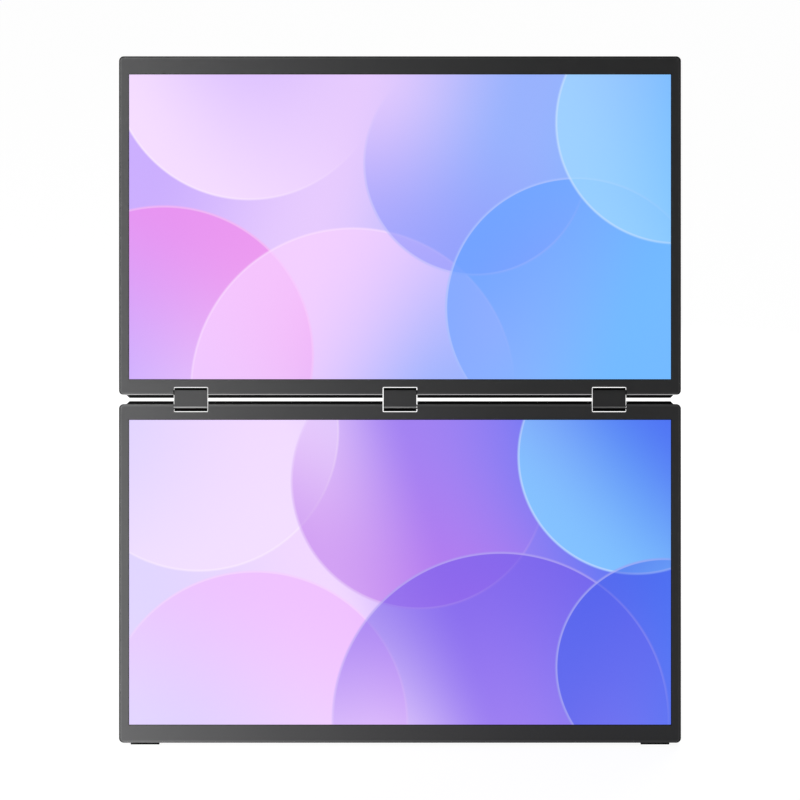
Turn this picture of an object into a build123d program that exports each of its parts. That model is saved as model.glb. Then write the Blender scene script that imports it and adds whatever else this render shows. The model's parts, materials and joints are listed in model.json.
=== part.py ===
from build123d import *
import math
import os

# Stacked dual-screen monitor: two equal screens on three two-axis hinges, leaning back on
# a kickstand. Millimetres. It is modelled with the screens upright: X to the right, Y to
# the back, Z up, and the middle of the fold at the origin. The last section leans it back
# and sets it on the floor.

# Display area of a 15.6 inch 16:9 screen
display_width = 344.16
display_height = 193.59

# Case
side_bezel = 6.42
outer_bezel = 11.57
hinge_bezel = 10.07
case_thickness = 8.4
case_corner_radius = 3.0
case_edge_radius = 0.6
side_wall = 1.4
back_wall = 1.2

# Front frame
frame_thickness = 1.4
frame_lip_thickness = 0.6
clip_length = 8.0
clip_thickness = 1.0
clip_reach = 2.4
clips_per_side = 4
clips_per_outer_edge = 6

# Display module, from the front to the back
cell_thickness = 1.0
cell_border = 2.5
guide_thickness = 1.2
tray_sheet = 0.4
tray_margin = 0.5
chin_height = 7.6
led_bar_width = 1.2
driver_board_length = 260.0
driver_board_width = 12.0
driver_board_thickness = 0.8
seat_gap = 0.04

# Ribs of the rear cover behind the tray
rib_thickness = 1.2
rib_spacing = 60.0
rib_board_gap = 2.0
rib_end_inset = 34.0

# Hinge edge of each case
frame_gap = 5.7
lip_gap = 2.1
lip_end_inset = 4.8
lip_edge_radius = 0.8

# Folding hinges
hinge_side_inset = 45.5
folded_gap = 0.7
shaft_diameter = 3.0
running_clearance = 0.03
bearing_end_wall = 0.63
bearing_face_wall = 0.67
bearing_length = 8.0
block_clearance = 0.1
cap_width = 20.9
cap_wall = 0.7
cap_end_wall = 0.8
cap_corner_radius = 2.6
notch_side_gap = 0.6
notch_end_gap = 0.46
notch_wall = 1.0
notch_corner_radius = 0.8
shaft_hole_clearance = 0.15
tunnel_clearance = 0.3

# Shafts, bracket leaves and screws
shaft_neck = 0.75
tang_length = 11.0
tang_thickness = 1.6
leaf_thickness = 0.8
leaf_length = 12.6
leaf_depth = 14.0
leaf_edge = 1.3
rivet_diameter = 1.4
screw_diameter = 1.4
screw_length = 1.9
screw_head_diameter = 2.6
screw_head_height = 0.8
screw_spacing = 6.0
screw_clearance = 0.05
boss_wall = 1.0

# Friction discs on the shafts of the outer hinges
disc_count = 6
disc_thickness = 0.6
disc_gap = 0.05
disc_diameter = 3.6
journal_diameter = 1.7
clip_ring_thickness = 0.5
clip_ring_diameter = 2.8
shaft_end_length = 0.3

# Wiring through the middle hinge
tube_overhang = 0.15
tube_bore = 2.0
tube_flange_diameter = 3.4
tube_flange_thickness = 0.8
cable_diameter = 1.6
cable_run = 9.0
cable_bend = 4.0
cable_lane = 18.0

# Main board, sockets and buttons of the lower case
board_width = 46.0
board_length = 112.0
board_thickness = 1.0
board_side_inset = 7.0
board_hole_inset = 4.0
chip_height = 0.8
chip_sides = (12.0, 9.0, 7.0)
chip_spacing = 28.0
chip_inset = 28.5
cable_plug_size = 6.0
cable_plug_inset = 14.0
usb_width = 8.94
usb_height = 3.16
usb_length = 7.3
hdmi_width = 11.2
hdmi_height = 3.2
hdmi_length = 7.6
socket_corner_radius = 1.25
socket_sheet = 0.3
socket_tongue = 0.7
socket_inset = 0.5
socket_clearance = 0.15
socket_spacing = 14.0
button_length = 9.0
button_height = 2.4
button_corner_radius = 0.95
button_proud = 0.2
button_travel = 0.5
button_flange = 0.6
button_flange_lip = 0.7
button_spacing = 13.0
button_clearance = 0.15
plunger_diameter = 1.2
plunger_length = 1.0
switch_depth = 3.0
switch_length = 5.0
switch_height = 2.6
button_board_width = 9.0
button_board_margin = 4.0

# Rubber feet under the lower case
foot_length = 18.2
foot_inset = 7.2
foot_depth = 4.0
foot_back_inset = 0.6
foot_least_height = 0.4

# Kickstand
stand_width = 236.0
stand_pivot_height = 180.0
stand_angle = 24.0
stand_thickness = 2.0
stand_inset = 0.1
stand_clearance = 0.1
stand_side_gap = 0.4
stand_end_gap = 0.3
stand_pad_height = 4.0
stand_corner_radius = 3.0
recess_wall = 1.0
barrel_wall = 0.8
barrel_clearance = 0.3
pin_diameter = 1.6
pin_clearance = 0.05
pin_grip = 5.0
stand_bracket_width = 15.6
stand_bracket_spacing = 160.0
stand_bracket_gap = 0.2
stand_leaf_thickness = 1.0
stand_leaf_depth = 10.0

# Shape limits: a cut runs past its piece by this much, and a fillet takes this share of a wall
overrun = 1.0
fillet_share = 0.45

# Places worked out from these sizes. In each case w counts from its fold axis to its far edge
half_width = display_width / 2 + side_bezel
hinge_spacing = half_width - hinge_side_inset
front = -case_thickness / 2
rear = case_thickness / 2
frame_back = front + frame_thickness
inner_back = rear - back_wall
axis_spacing = case_thickness + folded_gap
axis_half = axis_spacing / 2
frame_w = frame_gap / 2 - axis_half
lip_w = lip_gap / 2 - axis_half
display_w0 = frame_w + hinge_bezel
display_w1 = display_w0 + display_height
outer_w = display_w1 + outer_bezel
cell_front = front + frame_lip_thickness + seat_gap
cell_back = cell_front + cell_thickness
guide_front = cell_back + seat_gap
guide_back = guide_front + guide_thickness
tray_inner = guide_back + seat_gap
tray_back = tray_inner + tray_sheet
tray_x = display_width / 2 + cell_border + tray_margin
tray_w0 = display_w0 - cell_border - tray_margin
tray_w1 = display_w1 + chin_height
shaft_radius = shaft_diameter / 2
bore_radius = shaft_radius + running_clearance
cap_end = bore_radius + bearing_end_wall + block_clearance + cap_wall
cap_half = bore_radius + bearing_face_wall + block_clearance + cap_wall
notch_w = cap_end + notch_end_gap
notch_x = cap_width / 2 + notch_side_gap
tunnel = shaft_radius + tunnel_clearance
leaf_front = tang_thickness / 2
leaf_back = leaf_front + leaf_thickness
leaf_screw_w = leaf_depth - leaf_edge - screw_head_diameter / 2
screw_radius = screw_diameter / 2
screw_hole = screw_radius + screw_clearance
boss_radius = screw_hole + boss_wall
recess_floor = rear - stand_inset - stand_thickness - stand_clearance
recess_inner = recess_floor - recess_wall
barrel_radius = pin_diameter / 2 + barrel_wall
pivot_y = rear - stand_inset - barrel_radius
pivot_w = outer_w - stand_pivot_height
groove_floor = pivot_y - barrel_radius - barrel_clearance
groove_reach = barrel_radius + barrel_clearance
bay_w = (display_w0 + display_w1) / 2
board_front = tray_back + seat_gap
board_back = board_front + board_thickness
socket_y = (tray_back + inner_back) / 2
socket_x = half_width - socket_inset
usb_size = (usb_width, usb_height, usb_length)
hdmi_size = (hdmi_width, hdmi_height, hdmi_length)

# Hinges by name: middle of the cap, and the side on which its shafts leave it
outer_hinges = {"left": (-hinge_spacing, -1), "right": (hinge_spacing, 1)}
middle_hinge = (0.0, 1)
all_hinges = {**outer_hinges, "middle": middle_hinge}


# Simple shapes
def block(x0, x1, y0, y1, z0, z1):
    size = Box(x1 - x0, y1 - y0, z1 - z0)
    return Pos((x0 + x1) / 2, (y0 + y1) / 2, (z0 + z1) / 2) * size


def within(radius, wall):
    return min(radius, fillet_share * wall)


def rounded_block(x0, x1, y0, y1, z0, z1, radius):
    plain = block(x0, x1, y0, y1, z0, z1)
    return fillet(plain.edges().filter_by(Axis.Y), within(radius, min(x1 - x0, z1 - z0)))


def rounded_block_x(x0, x1, y0, y1, z0, z1, radius):
    plain = block(x0, x1, y0, y1, z0, z1)
    return fillet(plain.edges().filter_by(Axis.X), within(radius, min(y1 - y0, z1 - z0)))


def rod_x(x0, x1, y, z, radius):
    return Pos((x0 + x1) / 2, y, z) * Rot(Y=90) * Cylinder(radius, x1 - x0)


def rod_y(x, z, y0, y1, radius):
    return Pos(x, (y0 + y1) / 2, z) * Rot(X=90) * Cylinder(radius, y1 - y0)


def profile_x(points, x0, x1):
    face = make_face(Polyline(*points, close=True))
    return Pos(x0, 0, 0) * extrude(Plane.YZ * face, x1 - x0)


def joined(shapes):
    whole = shapes[0]
    for shape in shapes[1:]:
        whole = whole + shape
    return whole


def group(shapes):
    return Compound(children=[solid for shape in shapes for solid in shape.solids()])


# A case is made with its fold axis at the origin and its far edge up, then set in place
def set_upper(shape):
    return Pos(0, 0, axis_half) * shape


def set_lower(shape):
    return Pos(0, 0, -axis_half) * shape.mirror(Plane.XY)


def at_hinge(shape, hinge):
    middle, side = hinge
    turned = shape if side > 0 else shape.mirror(Plane.YZ)
    return Pos(middle, 0, 0) * turned


def even_places(low, high, count):
    step = (high - low) / count
    return [low + step * (i + 0.5) for i in range(count)]


# Notches for the hinge caps, cut right through each case
def notch_cuts(extra):
    reach = case_thickness
    cuts = []
    for middle, side in all_hinges.values():
        half = notch_x + extra
        plain = block(middle - half, middle + half, -reach, reach, lip_w - reach, notch_w + extra)
        inner = plain.edges().filter_by(Axis.Y).group_by(Axis.Z)[-1]
        cuts.append(fillet(inner, notch_corner_radius))
    return joined(cuts)


# Front frame: a flat ring with a thin lip over the display's edge and clips behind
def front_frame():
    ring = rounded_block(
        -half_width, half_width, front, frame_back, frame_w, outer_w, case_corner_radius
    )
    edge_radius = within(case_edge_radius, frame_thickness)
    ring = fillet(ring.faces().sort_by(Axis.Y)[0].edges(), edge_radius)
    window_x = display_width / 2
    ring -= block(
        -window_x, window_x, front - overrun, frame_back + overrun, display_w0, display_w1
    )
    cell_x = window_x + cell_border + seat_gap
    cell_w0 = display_w0 - cell_border - seat_gap
    cell_w1 = display_w1 + cell_border + seat_gap
    ring -= block(
        -cell_x, cell_x, front + frame_lip_thickness, frame_back + overrun, cell_w0, cell_w1
    )
    outer_x = half_width - side_wall - seat_gap
    inner_x = outer_x - clip_thickness
    clip_back = frame_back + clip_reach
    for w in even_places(display_w0, display_w1, clips_per_side):
        low, high = w - clip_length / 2, w + clip_length / 2
        ring += block(inner_x, outer_x, frame_back, clip_back, low, high)
        ring += block(-outer_x, -inner_x, frame_back, clip_back, low, high)
    clip_w = outer_w - side_wall - seat_gap
    for x in even_places(-window_x, window_x, clips_per_outer_edge):
        low, high = x - clip_length / 2, x + clip_length / 2
        ring += block(low, high, frame_back, clip_back, clip_w - clip_thickness, clip_w)
    return ring - notch_cuts(0)


# Display module, seated between the front frame and the ribs of the rear cover
def lcd_cell():
    half = display_width / 2 + cell_border
    return block(
        -half, half, cell_front, cell_back, display_w0 - cell_border, display_w1 + cell_border
    )


def light_guide():
    half = tray_x - tray_sheet - seat_gap
    start = tray_w0 + tray_sheet + seat_gap
    return block(-half, half, guide_front, guide_back, start, display_w1 + cell_border)


def led_bar():
    half = tray_x - tray_sheet - seat_gap
    start = display_w1 + cell_border + seat_gap
    return block(-half, half, guide_front, guide_back, start, start + led_bar_width)


def backlight_tray():
    whole = block(-tray_x, tray_x, guide_front, tray_back, tray_w0, tray_w1)
    inner_x = tray_x - tray_sheet
    inner_w0, inner_w1 = tray_w0 + tray_sheet, tray_w1 - tray_sheet
    return whole - block(-inner_x, inner_x, guide_front - overrun, tray_inner, inner_w0, inner_w1)


def driver_board():
    half = driver_board_length / 2
    board_y = tray_back + seat_gap
    end = tray_w1 - tray_margin
    board_rear = board_y + driver_board_thickness
    return block(-half, half, board_y, board_rear, end - driver_board_width, end)


# Rear cover, with the hinge lip and the walls round the notches
def cover_pockets():
    inner_x = half_width - side_wall
    inner_w0, inner_w1 = frame_w + side_wall, outer_w - side_wall
    main = block(-inner_x, inner_x, frame_back - overrun, inner_back, inner_w0, inner_w1)
    tunnel_x = half_width - lip_end_inset - side_wall - (frame_w - lip_w)
    lip_tunnel = block(-tunnel_x, tunnel_x, -tunnel, tunnel, -tunnel, inner_w0)
    return main + lip_tunnel - notch_cuts(notch_wall)


def hinge_lip():
    base_x = half_width - lip_end_inset
    slant = frame_w - lip_w
    whole = block(-base_x, base_x, frame_back, inner_back, lip_w, frame_w + side_wall)
    edge_radius = within(lip_edge_radius, inner_back - frame_back)
    whole = fillet(whole.edges().filter_by(Axis.X).group_by(Axis.Z)[0], edge_radius)
    far_x = base_x + overrun
    end_cut = Polyline(
        (base_x - slant - overrun, lip_w - overrun),
        (far_x, lip_w - overrun),
        (far_x, frame_w + overrun),
        close=True,
    )
    wedge = extrude(Plane.XZ * make_face(end_cut), case_thickness, both=True)
    return whole - wedge - wedge.mirror(Plane.YZ)


def cover_ribs():
    ribs = []
    outer_rib = half_width - board_side_inset - board_width - rib_board_gap
    for x in (-outer_rib, -rib_spacing / 2, rib_spacing / 2, outer_rib):
        ribs.append(
            block(
                x - rib_thickness / 2,
                x + rib_thickness / 2,
                tray_back + seat_gap,
                inner_back + back_wall / 2,
                rib_end_inset,
                outer_w - rib_end_inset,
            )
        )
    return joined(ribs)


def leaf_screw_places():
    first = notch_x + notch_wall + shaft_neck + leaf_length / 2 - screw_spacing / 2
    return [(first, leaf_screw_w), (first + screw_spacing, leaf_screw_w)]


def bosses(places, seat_y):
    posts = [rod_y(x, w, seat_y, inner_back + back_wall / 2, boss_radius) for x, w in places]
    tip = seat_y + screw_length
    holes = [rod_y(x, w, seat_y - overrun, tip, screw_hole) for x, w in places]
    return joined(posts), joined(holes)


def shaft_holes():
    radius = shaft_radius + shaft_hole_clearance
    through = rod_x(0, notch_x + notch_wall + shaft_neck, 0, 0, radius)
    return joined([at_hinge(through, hinge) for hinge in all_hinges.values()])


def plain_cover():
    shell = rounded_block(
        -half_width, half_width, frame_back, rear, frame_w, outer_w, case_corner_radius
    )
    edge_radius = within(case_edge_radius, rear - frame_back)
    shell = fillet(shell.faces().sort_by(Axis.Y)[-1].edges(), edge_radius)
    shell = shell + hinge_lip() - cover_pockets() + cover_ribs()
    posts, holes = bosses(leaf_screw_places(), leaf_back)
    for hinge in outer_hinges.values():
        shell += at_hinge(posts, hinge)
        shell -= at_hinge(holes, hinge)
    return shell - notch_cuts(0) - shaft_holes()


# Kickstand recess in the back of the lower case, open at the bottom edge
def stand_bracket_places():
    return (-stand_bracket_spacing / 2, stand_bracket_spacing / 2)


def stand_leaf_screw_places(x):
    half = stand_bracket_width / 2 - boss_radius - screw_clearance
    w = pivot_w - groove_reach - recess_wall - stand_leaf_depth / 2
    return [(x - half, w), (x + half, w)]


def with_stand_recess(shell):
    half = stand_width / 2 + stand_side_gap
    wall = half + recess_wall
    groove_w0, groove_w1 = pivot_w - groove_reach, pivot_w + groove_reach
    wall_w0, wall_w1 = groove_w0 - recess_wall, groove_w1 + recess_wall
    shell += block(-wall, wall, recess_inner, inner_back, wall_w0, outer_w - side_wall)
    shell += block(-wall, wall, groove_floor - recess_wall, inner_back, wall_w0, wall_w1)
    shell -= block(-half, half, recess_floor, rear + overrun, groove_w0, outer_w + overrun)
    shell -= block(-half, half, groove_floor, rear + overrun, groove_w0, groove_w1)
    slot = stand_bracket_width / 2 + stand_bracket_gap
    slot_front = inner_back - stand_leaf_thickness - stand_bracket_gap
    slot_w0, slot_w1 = wall_w0 - overrun, groove_w0 + overrun
    tip = inner_back - stand_leaf_thickness + screw_length + screw_clearance
    for x in stand_bracket_places():
        shell -= block(x - slot, x + slot, slot_front, inner_back, slot_w0, slot_w1)
        for screw_x, screw_w in stand_leaf_screw_places(x):
            shell -= rod_y(screw_x, screw_w, inner_back - overrun, tip, screw_hole)
    return shell


# Main board and its sockets, behind the left edge of the lower case. The board lies on the
# back of the tray, in front of the kickstand's recess
def board_x():
    left = -half_width + board_side_inset
    return left, left + board_width


def board_w():
    return bay_w - board_length / 2, bay_w + board_length / 2


def board_screw_places():
    x = board_x()[0] + board_hole_inset
    w0, w1 = board_w()
    return [(x, w0 + board_hole_inset), (x, w1 - board_hole_inset)]


def cable_plug_x():
    return board_x()[0] + cable_plug_inset


def socket_places():
    return [bay_w - socket_spacing, bay_w, bay_w + socket_spacing]


def sized_sockets():
    return list(zip(socket_places(), (usb_size, usb_size, hdmi_size)))


def socket_shape(w, width, height, length, grow):
    half_height, half_length = height / 2 + grow, width / 2 + grow
    return rounded_block_x(
        -socket_x,
        -socket_x + length,
        socket_y - half_height,
        socket_y + half_height,
        w - half_length,
        w + half_length,
        socket_corner_radius + grow,
    )


def socket(w, width, height, length):
    shell = socket_shape(w, width, height, length, 0)
    shell -= Pos(-socket_sheet, 0, 0) * socket_shape(w, width, height, length, -socket_sheet)
    tongue_half = width / 2 - 3 * socket_sheet
    tongue_x0, tongue_x1 = -socket_x + 2 * socket_sheet, -socket_x + length - socket_sheet
    low, high = socket_y - socket_tongue / 2, socket_y + socket_tongue / 2
    return shell + block(tongue_x0, tongue_x1, low, high, w - tongue_half, w + tongue_half)


def socket_cut(w, width, height, length):
    grown = socket_shape(w, width, height, length, socket_clearance)
    return Pos(-length / 2, 0, 0) * grown + grown


def all_socket_cuts():
    return joined([socket_cut(w, *size) for w, size in sized_sockets()])


def main_board():
    x0, x1 = board_x()
    w0, w1 = board_w()
    board = block(x0, x1, board_front, board_back, w0, w1)
    chip_x = x0 + chip_inset
    chip_back = board_back + chip_height
    for step, side in zip((-1, 0, 1), chip_sides):
        half, w = side / 2, bay_w + step * chip_spacing
        board += block(chip_x - half, chip_x + half, board_back, chip_back, w - half, w + half)
    plug_x0 = cable_plug_x() - cable_plug_size / 2
    plug_x1 = plug_x0 + cable_plug_size
    board += block(plug_x0, plug_x1, board_front, chip_back, w0, w0 + cable_plug_size)
    for x, w in board_screw_places():
        board -= rod_y(x, w, board_front - overrun, board_back + overrun, screw_hole)
    for w, (width, height, length) in sized_sockets():
        half, end = width / 2 + socket_clearance, -socket_x + length + socket_clearance
        board -= block(x0 - overrun, end, front, rear, w - half, w + half)
    return board


def drilled_tray():
    tray = backlight_tray()
    for x, w in board_screw_places():
        tray -= rod_y(x, w, tray_inner - overrun, tray_back + overrun, screw_hole)
    return tray


# Buttons behind the right edge of the lower case
def button_places():
    return {
        "power_button": bay_w - button_spacing,
        "plus_button": bay_w,
        "minus_button": bay_w + button_spacing,
    }


def button_box(w, x0, x1, grow):
    half_height, half_length = button_height / 2 + grow, button_length / 2 + grow
    return rounded_block_x(
        x0,
        x1,
        socket_y - half_height,
        socket_y + half_height,
        w - half_length,
        w + half_length,
        button_corner_radius + grow,
    )


def flange_x():
    outer = half_width - side_wall - seat_gap
    return outer - button_flange, outer


def button(w):
    inner, outer = flange_x()
    cap = button_box(w, inner, half_width + button_proud, 0)
    half_height = button_height / 2 + button_flange_lip
    half_length = button_length / 2 + button_flange_lip
    low, high = socket_y - half_height, socket_y + half_height
    flange = block(inner, outer, low, high, w - half_length, w + half_length)
    plunger = rod_x(inner - plunger_length, inner, socket_y, w, plunger_diameter / 2)
    return cap + flange + plunger


def switch_face():
    return flange_x()[0] - button_travel - button_clearance


def button_board():
    face = switch_face()
    places = list(button_places().values())
    low, high = places[0] - button_board_margin, places[-1] + button_board_margin
    top = socket_y + switch_height / 2
    board = block(face - button_board_width, face - switch_depth / 2, top, inner_back, low, high)
    well = plunger_diameter / 2 + button_clearance
    depth = plunger_length + button_clearance
    bottom, half = socket_y - switch_height / 2, switch_length / 2
    for w in places:
        body = block(face - switch_depth, face, bottom, top, w - half, w + half)
        board += body - rod_x(face - depth, face + overrun, socket_y, w, well)
    return board


def lower_cover():
    shell = with_stand_recess(plain_cover())
    shell -= all_socket_cuts()
    for w in button_places().values():
        inner, outer = half_width - side_wall - overrun, half_width + overrun
        shell -= button_box(w, inner, outer, button_clearance)
    return shell


# Hinge caps: two shells that meet on the plane of the fold axes
def cap_profile(shrink):
    height = axis_spacing + 2 * cap_end - 2 * shrink
    thickness = 2 * cap_half - 2 * shrink
    return thickness, height, max(cap_corner_radius - shrink, cap_wall)


def cap_body(x0, x1, shrink):
    thickness, height, radius = cap_profile(shrink)
    return rounded_block_x(x0, x1, -thickness / 2, thickness / 2, -height / 2, height / 2, radius)


# Places along a hinge, from the side on which its shafts leave the cap
cap_x = cap_width / 2
bearing_x1 = cap_x - cap_end_wall - block_clearance
bearing_x0 = bearing_x1 - bearing_length
disc_step = disc_thickness + disc_gap
clip_x1 = bearing_x0 - disc_count * disc_step - disc_gap
clip_x0 = clip_x1 - clip_ring_thickness
shaft_x0 = clip_x0 - shaft_end_length
journal_bore = journal_diameter / 2 + running_clearance
wall_x1 = notch_x + notch_wall
neck_x1 = wall_x1 + shaft_neck


def fold_axes():
    return (-axis_half, axis_half)


def hollow_cap():
    inner = cap_x - cap_end_wall
    whole = cap_body(-cap_x, cap_x, 0) - cap_body(-inner, inner, cap_wall)
    for z in fold_axes():
        whole -= rod_x(0, 2 * cap_x, 0, z, shaft_radius + shaft_hole_clearance)
    return whole


def cap_half_shell(side):
    far = case_thickness
    keep = block(-cap_width, cap_width, 0, far, -2 * far, 2 * far)
    return hollow_cap() & (keep if side > 0 else keep.mirror(Plane.XZ))


def bearing_block():
    body = cap_body(bearing_x0, bearing_x1, cap_wall + block_clearance)
    for z in fold_axes():
        body -= rod_x(bearing_x0 - overrun, bearing_x1 + overrun, 0, z, bore_radius)
    return body


# Shaft with a flat tang that its bracket leaf is riveted to, and a journal for the discs
def shaft():
    journal = rod_x(shaft_x0, bearing_x0, 0, 0, journal_diameter / 2)
    round_part = rod_x(bearing_x0, neck_x1 + tang_length, 0, 0, shaft_radius)
    flat = tang_thickness / 2
    tang_end = neck_x1 + tang_length + overrun
    cut = block(neck_x1, tang_end, flat, shaft_diameter, -shaft_diameter, shaft_diameter)
    rivet = rod_y(neck_x1 + tang_length / 2, 0, 0, leaf_back, rivet_diameter / 2)
    return journal + round_part - cut - cut.mirror(Plane.XZ) + rivet


def bracket_leaf():
    start = neck_x1 + seat_gap
    leaf = block(start, start + leaf_length, leaf_front, leaf_back, -leaf_edge, leaf_depth)
    rivet_x = neck_x1 + tang_length / 2
    leaf -= rod_y(rivet_x, 0, 0, rear, rivet_diameter / 2 + running_clearance)
    for x, w in leaf_screw_places():
        leaf -= rod_y(x, w, 0, rear, screw_hole)
    return leaf


def screw(x, w, seat_y, length):
    shank = rod_y(x, w, seat_y, seat_y + length, screw_radius)
    head = rod_y(x, w, seat_y - screw_head_height, seat_y, screw_head_diameter / 2)
    socket_depth = screw_head_height / 2
    recess = rod_y(x, w, seat_y - 2 * socket_depth, seat_y - socket_depth, screw_radius)
    return head + shank - recess


def leaf_screws():
    return [screw(x, w, leaf_front, screw_length) for x, w in leaf_screw_places()]


# The main board's screws go in from the back, into the sheet of the backlight tray
def board_screws():
    length = board_back - tray_inner
    upright = [screw(x, w, -board_back, length) for x, w in board_screw_places()]
    return [one.mirror(Plane.XZ) for one in upright]


# Flat rings on a shaft's journal: the friction discs, and the clip that holds them
def journal_ring(x0, thickness, diameter):
    ring = rod_x(x0, x0 + thickness, 0, 0, diameter / 2)
    return ring - rod_x(x0 - overrun, x0 + thickness + overrun, 0, 0, journal_bore)


def friction_discs():
    places = [bearing_x0 - step * disc_step for step in range(1, disc_count + 1)]
    return [journal_ring(x, disc_thickness, disc_diameter) for x in places]


def shaft_clip():
    return journal_ring(clip_x0, clip_ring_thickness, clip_ring_diameter)


# Wiring of the middle hinge
tube_x0 = bearing_x0 - tube_overhang
cable_turn_x = wall_x1 + cable_run


def cable_tube():
    tube = rod_x(tube_x0, wall_x1, 0, 0, shaft_radius)
    flange_x1 = wall_x1 + tube_flange_thickness
    tube += rod_x(wall_x1, flange_x1, 0, 0, tube_flange_diameter / 2)
    return tube - rod_x(tube_x0 - overrun, flange_x1 + overrun, 0, 0, tube_bore / 2)


def cable_along(points):
    path = FilletPolyline(*points, radius=cable_bend)
    start = Plane(origin=path @ 0, z_dir=path % 0)
    return sweep(start * Circle(cable_diameter / 2), path=path)


def upper_cable():
    board_edge = tray_w1 - tray_margin - driver_board_width
    return cable_along([(tube_x0, 0, 0), (cable_turn_x, 0, 0), (cable_turn_x, 0, board_edge)])


def lower_cable():
    start = [(tube_x0, 0, 0), (cable_turn_x, 0, 0), (cable_turn_x, 0, cable_lane)]
    end = [(cable_plug_x(), 0, cable_lane), (cable_plug_x(), 0, board_w()[0])]
    return cable_along(start + end)


def link_cable():
    end = tube_x0 - seat_gap
    turn = end - cable_bend - axis_half
    low, high = fold_axes()
    return cable_along([(end, 0, low), (turn, 0, low), (turn, 0, high), (end, 0, high)])


# Kickstand, modelled flush in its recess and then swung out about its pivot
pad_radius = stand_thickness / 2
stand_end_w = outer_w - stand_end_gap
stand_front = rear - stand_inset - stand_thickness
stand_back = rear - stand_inset
pivot_z = -axis_half - pivot_w


def swing_out(shape):
    return Pos(0, pivot_y, pivot_z) * Rot(X=stand_angle) * Pos(0, -pivot_y, -pivot_z) * shape


def stand_plate():
    half = stand_width / 2
    plate_end = stand_end_w - stand_pad_height
    plate = block(-half, half, stand_front, stand_back, pivot_w, plate_end)
    plate += rod_x(-half, half, pivot_y, pivot_w, barrel_radius)
    for x in stand_bracket_places():
        gap = stand_bracket_width / 2 + stand_bracket_gap
        slot_w0, slot_w1 = pivot_w - 2 * groove_reach, pivot_w + groove_reach
        plate -= block(x - gap, x + gap, -rear, 2 * rear, slot_w0, slot_w1)
        reach = gap + pin_grip + stand_bracket_gap
        plate -= rod_x(x - reach, x + reach, pivot_y, pivot_w, pin_diameter / 2 + pin_clearance)
    return plate


def stand_pad():
    half = stand_width / 2
    middle = (stand_front + stand_back) / 2
    centre_w = stand_end_w - pad_radius
    start_w = stand_end_w - stand_pad_height
    bar = block(-half, half, stand_front, stand_back, start_w, centre_w)
    bar += rod_x(-half, half, middle, centre_w, pad_radius)
    low_w = start_w - stand_pad_height
    return bar & rounded_block(-half, half, -rear, 2 * rear, low_w, stand_end_w, stand_corner_radius)


def stand_bracket(x):
    half = stand_bracket_width / 2
    leaf_top = pivot_w - groove_reach - recess_wall - stand_leaf_depth
    leaf_y = inner_back - stand_leaf_thickness
    bracket = rod_x(x - half, x + half, pivot_y, pivot_w, barrel_radius)
    bracket += block(x - half, x + half, leaf_y, inner_back - seat_gap, leaf_top, pivot_w)
    pin_hole = pin_diameter / 2 + running_clearance
    bracket -= rod_x(x - half - overrun, x + half + overrun, pivot_y, pivot_w, pin_hole)
    for screw_x, screw_w in stand_leaf_screw_places(x):
        bracket -= rod_y(screw_x, screw_w, 0, rear, screw_hole)
    return bracket


def stand_pin(x):
    half = stand_bracket_width / 2 + stand_bracket_gap + pin_grip
    return rod_x(x - half, x + half, pivot_y, pivot_w, pin_diameter / 2)


# Lean of the whole monitor: the floor touches the feet's back edge and the pad's round edge
bottom_z = -axis_half - outer_w
foot_back = rear - foot_back_inset
foot_front = foot_back - foot_depth
foot_z = bottom_z - foot_least_height
pad_reach = pivot_w - (stand_end_w - pad_radius)
pad_offset = (stand_front + stand_back) / 2 - pivot_y
swing = math.radians(stand_angle)
pad_y = pivot_y + pad_offset * math.cos(swing) - pad_reach * math.sin(swing)
pad_z = pivot_z + pad_offset * math.sin(swing) + pad_reach * math.cos(swing)
pad_distance = math.hypot(pad_y - foot_back, pad_z - foot_z)
lean = math.atan2(pad_z - foot_z, pad_y - foot_back) - math.asin(pad_radius / pad_distance)
floor_z = foot_z * math.cos(lean) - foot_back * math.sin(lean)


def foot(side):
    drop = foot_depth * math.tan(lean)
    profile = [
        (foot_front, bottom_z),
        (foot_back, bottom_z),
        (foot_back, foot_z),
        (foot_front, foot_z - drop),
    ]
    outer = half_width - foot_inset
    pad = profile_x(profile, outer - foot_length, outer)
    return pad if side > 0 else pad.mirror(Plane.YZ)


# All pieces, upright
nodes = {}
for name, place in (("upper", set_upper), ("lower", set_lower)):
    nodes[f"front_frame_{name}"] = place(front_frame())
    nodes[f"lcd_cell_{name}"] = place(lcd_cell())
    nodes[f"light_guide_{name}"] = place(light_guide())
    nodes[f"led_bar_{name}"] = place(led_bar())
    nodes[f"backlight_tray_{name}"] = place(backlight_tray())
    nodes[f"driver_board_{name}"] = place(driver_board())
    for side, hinge in outer_hinges.items():
        nodes[f"{name}_shaft_{side}"] = place(at_hinge(shaft(), hinge))
        nodes[f"{name}_bracket_{side}"] = place(at_hinge(bracket_leaf(), hinge))
    nodes[f"{name}_cable_tube"] = place(at_hinge(cable_tube(), middle_hinge))
    hinges = outer_hinges.values()
    discs = [at_hinge(disc, hinge) for hinge in hinges for disc in friction_discs()]
    nodes[f"{name}_friction_discs"] = group([place(disc) for disc in discs])
    nodes[f"{name}_shaft_clips"] = group([place(at_hinge(shaft_clip(), hinge)) for hinge in hinges])

nodes["rear_cover_upper"] = set_upper(plain_cover())
nodes["rear_cover_lower"] = set_lower(lower_cover())

hinge_screws = [at_hinge(one, hinge) for hinge in outer_hinges.values() for one in leaf_screws()]
stand_screws = [
    screw(x, w, inner_back - stand_leaf_thickness, screw_length)
    for bracket_x in stand_bracket_places()
    for x, w in stand_leaf_screw_places(bracket_x)
]
nodes["upper_screws"] = group([set_upper(one) for one in hinge_screws])
lower_screws = hinge_screws + board_screws() + stand_screws
nodes["lower_screws"] = group([set_lower(one) for one in lower_screws])
nodes["backlight_tray_lower"] = set_lower(drilled_tray())

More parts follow.
